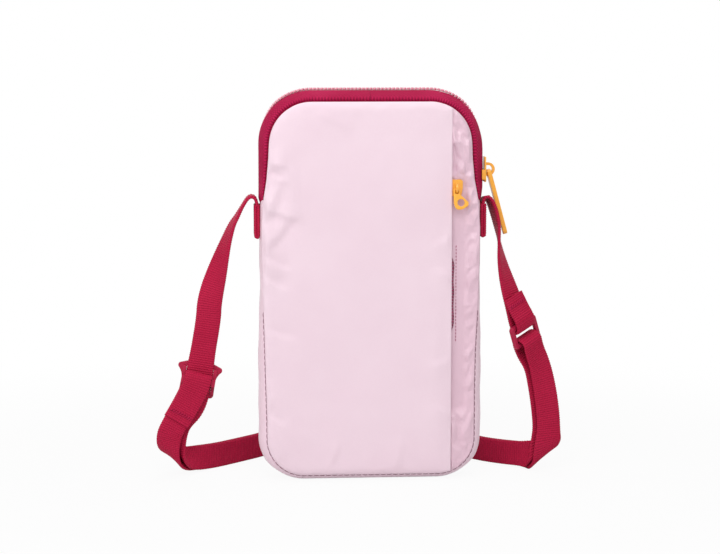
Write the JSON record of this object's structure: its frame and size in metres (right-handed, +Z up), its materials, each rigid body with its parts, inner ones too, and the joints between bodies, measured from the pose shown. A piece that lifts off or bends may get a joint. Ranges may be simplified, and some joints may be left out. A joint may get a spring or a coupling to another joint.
{
  "type": "phone pouch",
  "caption": "Flat padded phone pouch with a zip over its top, a zipped front pocket beneath a flap, and a doubled webbing strap with a slide adjuster and a ring.",
  "frame": {"origin": "middle of the flat base, on the surface that the pouch stands on", "axes": "+Z up, the front with the pocket faces -Y, +X to the right of someone facing the front"},
  "size_m": [0.1894, 0.1341, 0.1883],
  "materials": {
    "pink_cloth": "matt, padded",
    "lining": "matt",
    "padding": "soft foam",
    "zip_tape": "woven",
    "webbing": "woven, ribbed",
    "stitches": "thread",
    "teeth": "satin",
    "yellow_metal": "satin enamel",
    "yellow_pull": "satin",
    "raspberry_plastic": "satin"
  },
  "bodies": {
    "pouch": {"gusset_band": "pink_cloth", "front_panel": "pink_cloth", "back_panel": "pink_cloth", "front_side_strip": "pink_cloth", "front_foam": "padding", "back_foam": "padding", "pocket_lining": "lining", "front_lining": "lining", "back_lining": "lining", "gusset_lining": "lining", "main_zip_tape_front": "zip_tape", "main_zip_tape_back": "zip_tape", "main_zip_teeth_front": "teeth", "main_zip_teeth_back": "teeth", "pocket_zip_tape_left": "zip_tape", "pocket_zip_tape_right": "zip_tape", "pocket_zip_teeth_left": "teeth", "pocket_zip_teeth_right": "teeth", "strap_tab_left": "webbing", "strap_tab_right": "webbing", "strap_upper": "webbing", "strap_floor_inner": "webbing", "strap_riser_inner": "webbing", "strap_floor_outer": "webbing", "strap_riser_outer": "webbing", "short_strap": "webbing", "short_strap_bartack": "stitches"},
    "main_slider": {"main_slider": "yellow_metal"},
    "main_pull": {"main_pull": "yellow_pull"},
    "pocket_slider": {"pocket_slider": "yellow_metal"},
    "pocket_pull": {"pocket_pull": "yellow_metal"},
    "adjuster": {"strap_adjuster": "raspberry_plastic", "adjuster_fold": "webbing", "adjuster_bartack": "stitches"},
    "ring": {"strap_ring": "raspberry_plastic"}
  },
  "joints": [
    {"name": "main_slider_slide", "type": "slide", "parent": "pouch", "child": "main_slider", "axis": [0, 0, 1], "range_m": [0, 0.006]},
    {"name": "main_pull_swing", "type": "hinge", "parent": "main_slider", "child": "main_pull", "pos_m": [0.0567, 0, 0.1493], "axis": [0, -1, 0], "range_deg": [0, 149]},
    {"name": "pocket_slider_slide", "type": "slide", "parent": "pouch", "child": "pocket_slider", "axis": [0, 0, 1], "range_m": [-0.1, 0]},
    {"name": "pocket_pull_swing", "type": "hinge", "parent": "pocket_slider", "child": "pocket_pull", "pos_m": [0.0405, -0.0108, 0.141], "axis": [-1, 0, 0], "range_deg": [0, 140]},
    {"name": "adjuster_slide", "type": "slide", "parent": "pouch", "child": "adjuster", "axis": [0.1736, 0, 0.9848], "range_m": [0, 0.012]},
    {"name": "ring_swing", "type": "hinge", "parent": "pouch", "child": "ring", "pos_m": [0.07397, -0.00097, 0.07449], "axis": [0.7553, 0.5487, 0.3584], "range_deg": [-6, 6]}
  ]
}
